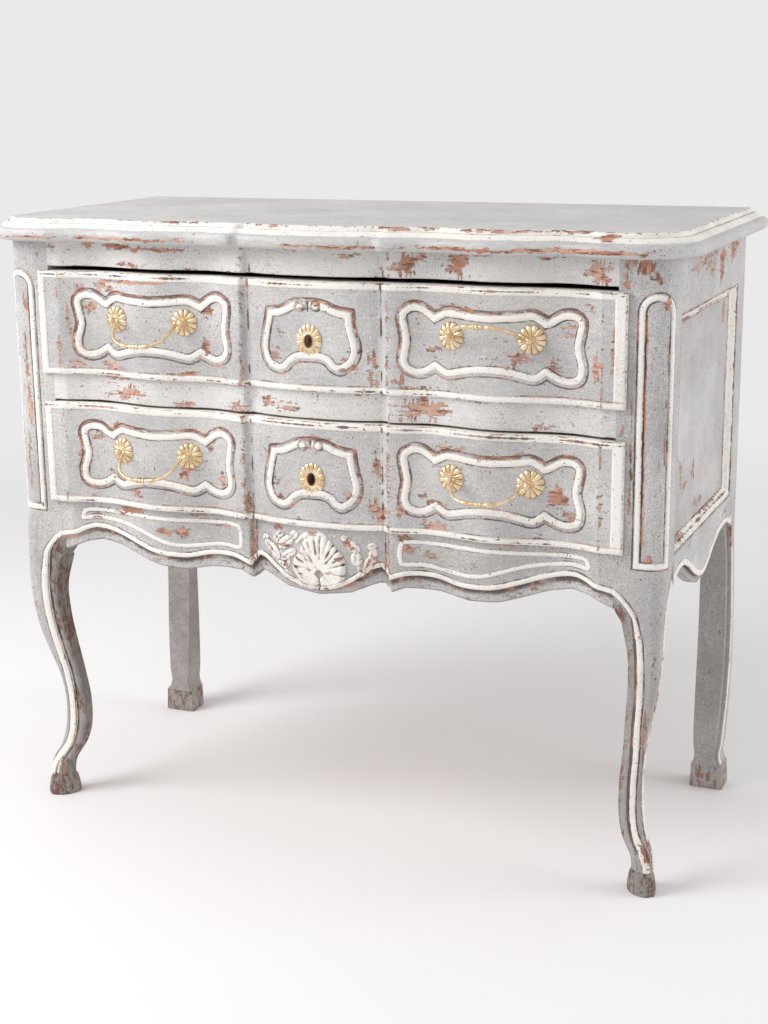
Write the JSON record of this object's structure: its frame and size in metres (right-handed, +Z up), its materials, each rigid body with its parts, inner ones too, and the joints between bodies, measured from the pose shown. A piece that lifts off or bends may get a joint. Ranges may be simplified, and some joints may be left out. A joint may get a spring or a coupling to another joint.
{
  "type": "commode chest",
  "caption": "Painted chest with a serpentine front, lipped drawers, carved cartouches, scalloped aprons, curved front legs and brass bail handles.",
  "frame": {"origin": "middle of the outline on the floor, under the chest", "axes": "+X to the right seen from the front, +Y from the front to the back, +Z up"},
  "size_m": [1.07, 0.52, 0.92],
  "materials": {
    "grey_paint": "matt grey paint with cream mouldings, rubbed through to brown wood along the edges",
    "raw_wood": "unpainted softwood",
    "brass": "pale polished cast brass",
    "iron": "dull dark iron"
  },
  "bodies": {
    "carcass": {"top_board": "grey_paint", "front_post_right": "grey_paint", "front_post_left": "grey_paint", "rear_post_right": "grey_paint", "rear_post_left": "grey_paint", "top_front_rail": "grey_paint", "drawer_divider_rail": "grey_paint", "front_apron": "grey_paint", "side_top_rail_right": "grey_paint", "side_panel_right": "grey_paint", "side_apron_right": "grey_paint", "side_top_rail_left": "grey_paint", "side_panel_left": "grey_paint", "side_apron_left": "grey_paint", "back_top_rail": "raw_wood", "back_panel": "raw_wood", "back_bottom_rail": "raw_wood", "lower_runner_right": "raw_wood", "lower_runner_left": "raw_wood", "upper_runner_right": "raw_wood", "upper_runner_left": "raw_wood"},
    "upper_drawer": {"upper_drawer_front": "grey_paint", "upper_drawer_side_right": "raw_wood", "upper_drawer_side_left": "raw_wood", "upper_drawer_back": "raw_wood", "upper_drawer_bottom": "raw_wood", "upper_drawer_escutcheon": "brass", "upper_drawer_lock_case": "iron", "upper_drawer_handle_left_post_left": "brass", "upper_drawer_handle_left_nut_left": "iron", "upper_drawer_handle_left_post_right": "brass", "upper_drawer_handle_left_nut_right": "iron", "upper_drawer_handle_right_post_left": "brass", "upper_drawer_handle_right_nut_left": "iron", "upper_drawer_handle_right_post_right": "brass", "upper_drawer_handle_right_nut_right": "iron"},
    "upper_drawer_bail_left": {"upper_drawer_bail_left": "brass"},
    "upper_drawer_bail_right": {"upper_drawer_bail_right": "brass"},
    "upper_drawer_lock_bolt": {"upper_drawer_lock_bolt": "iron"},
    "lower_drawer": {"lower_drawer_front": "grey_paint", "lower_drawer_side_right": "raw_wood", "lower_drawer_side_left": "raw_wood", "lower_drawer_back": "raw_wood", "lower_drawer_bottom": "raw_wood", "lower_drawer_escutcheon": "brass", "lower_drawer_lock_case": "iron", "lower_drawer_handle_left_post_left": "brass", "lower_drawer_handle_left_nut_left": "iron", "lower_drawer_handle_left_post_right": "brass", "lower_drawer_handle_left_nut_right": "iron", "lower_drawer_handle_right_post_left": "brass", "lower_drawer_handle_right_nut_left": "iron", "lower_drawer_handle_right_post_right": "brass", "lower_drawer_handle_right_nut_right": "iron"},
    "lower_drawer_bail_left": {"lower_drawer_bail_left": "brass"},
    "lower_drawer_bail_right": {"lower_drawer_bail_right": "brass"},
    "lower_drawer_lock_bolt": {"lower_drawer_lock_bolt": "iron"}
  },
  "joints": [
    {"name": "upper_drawer_slide", "type": "slide", "parent": "carcass", "child": "upper_drawer", "axis": [0, -1, 0], "range_m": [0, 0.33]},
    {"name": "upper_drawer_bail_left_hinge", "type": "hinge", "parent": "upper_drawer", "child": "upper_drawer_bail_left", "pos_m": [-0.26006, -0.21254, 0.7767], "axis": [-1, 0, 0], "range_deg": [-46, 120]},
    {"name": "upper_drawer_bail_right_hinge", "type": "hinge", "parent": "upper_drawer", "child": "upper_drawer_bail_right", "pos_m": [0.26006, -0.21254, 0.7767], "axis": [-1, 0, 0], "range_deg": [-113, 53]},
    {"name": "upper_drawer_lock_bolt_slide", "type": "slide", "parent": "upper_drawer", "child": "upper_drawer_lock_bolt", "axis": [0, 0, 1], "range_m": [0, 0.012]},
    {"name": "lower_drawer_slide", "type": "slide", "parent": "carcass", "child": "lower_drawer", "axis": [0, -1, 0], "range_m": [0, 0.33]},
    {"name": "lower_drawer_bail_left_hinge", "type": "hinge", "parent": "lower_drawer", "child": "lower_drawer_bail_left", "pos_m": [-0.26006, -0.21254, 0.5813], "axis": [-1, 0, 0], "range_deg": [-46, 120]},
    {"name": "lower_drawer_bail_right_hinge", "type": "hinge", "parent": "lower_drawer", "child": "lower_drawer_bail_right", "pos_m": [0.26006, -0.21254, 0.5813], "axis": [-1, 0, 0], "range_deg": [-62, 104]},
    {"name": "lower_drawer_lock_bolt_slide", "type": "slide", "parent": "lower_drawer", "child": "lower_drawer_lock_bolt", "axis": [0, 0, 1], "range_m": [0, 0.012]}
  ]
}
